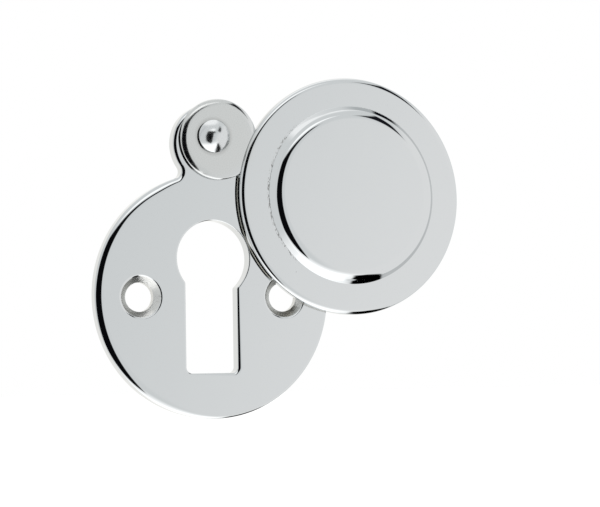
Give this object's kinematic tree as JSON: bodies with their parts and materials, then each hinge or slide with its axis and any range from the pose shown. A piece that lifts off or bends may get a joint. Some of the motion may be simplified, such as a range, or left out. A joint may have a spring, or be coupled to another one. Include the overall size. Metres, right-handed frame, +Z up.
{
  "type": "covered keyhole escutcheon",
  "caption": "Round keyhole escutcheon with a lever-key opening, countersunk screw holes and a riveted cover that swings over the keyhole.",
  "frame": {"origin": "halfway between the two screw holes, on the back face of the plate, which is also the middle of the round plate", "axes": "+Y from the front into the door, along the screws; +Z up, from the middle of the plate to the rivet; +X to the right as seen from the front"},
  "size_m": [0.0514, 0.0042, 0.0454],
  "materials": {
    "back_plate": "polished chrome plating on brass",
    "swing_cover": "polished chrome plating on brass",
    "pivot_rivet": "polished chrome plating on brass"
  },
  "bodies": {
    "plate": {"back_plate": "back_plate", "pivot_rivet": "pivot_rivet"},
    "cover": {"swing_cover": "swing_cover"}
  },
  "joints": [
    {"name": "cover_swing", "type": "hinge", "parent": "plate", "child": "cover", "pos_m": [0, -0.002, 0.0207], "axis": [0, -1, 0], "continuous": true}
  ]
}
